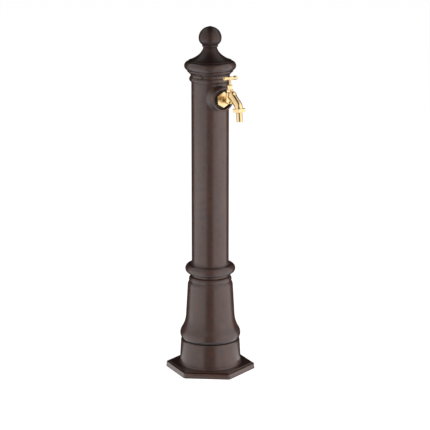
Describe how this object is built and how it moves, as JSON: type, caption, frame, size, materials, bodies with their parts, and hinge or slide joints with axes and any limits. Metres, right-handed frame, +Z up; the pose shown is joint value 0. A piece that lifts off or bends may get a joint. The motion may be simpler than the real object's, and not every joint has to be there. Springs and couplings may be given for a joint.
{
  "type": "garden standpipe",
  "caption": "Free-standing garden standpipe: round column on a flared pedestal and six-sided foot, domed cap with ball finial, and a screw-down tap with a hose tail.",
  "frame": {"origin": "on the ground, on the column's axis, in the plane of the foot's underside", "axes": "+Z up the column; the tap points along -Y; +X to the right as one looks along +Y"},
  "size_m": [0.1886, 0.2438, 0.8],
  "materials": {
    "painted_iron": "dark chocolate-brown satin paint over a slightly rough casting",
    "brass": "polished brass",
    "black_rubber": "black moulded rubber",
    "zinc_steel": "zinc-plated steel",
    "black_steel": "blackened steel",
    "galvanised_iron": "dull galvanised iron",
    "fibre": "red-brown fibre"
  },
  "bodies": {
    "standpipe": {"foot": "painted_iron", "pedestal": "painted_iron", "column": "painted_iron", "cap": "painted_iron", "finial": "painted_iron", "cap_screws": "black_steel", "finial_stud": "zinc_steel", "finial_nut": "zinc_steel", "finial_washer": "zinc_steel", "column_bolts": "zinc_steel", "column_washers": "zinc_steel", "foot_bolts": "zinc_steel", "foot_washers": "zinc_steel", "pipe_plate": "zinc_steel", "pipe_grommet": "black_rubber", "riser_pipe": "galvanised_iron", "pipe_elbow": "galvanised_iron", "pipe_coupling": "galvanised_iron", "flange_washer": "black_rubber", "back_nut": "brass", "tap_body": "brass", "union_nut": "brass", "hose_washer": "black_rubber", "hose_tail": "brass", "bonnet": "brass", "bonnet_washer": "fibre", "gland_packing": "fibre", "gland_nut": "brass"},
    "valve": {"jumper": "brass", "tap_washer": "black_rubber", "jumper_nut": "brass"},
    "spindle": {"spindle": "brass", "tee_handle": "brass", "handle_screw": "brass"}
  },
  "joints": [
    {"name": "jumper_lift", "type": "slide", "parent": "standpipe", "child": "valve", "axis": [0, 0, 1], "range_m": [0, 0.0035]},
    {"name": "handle_turn", "type": "hinge", "parent": "valve", "child": "spindle", "pos_m": [0, -0.088, 0.694], "axis": [0, 0, 1], "range_deg": [0, 630]}
  ],
  "couplings": [
    {"joint": "jumper_lift", "follows": "handle_turn", "m_per_rad": 0.00031831}
  ]
}
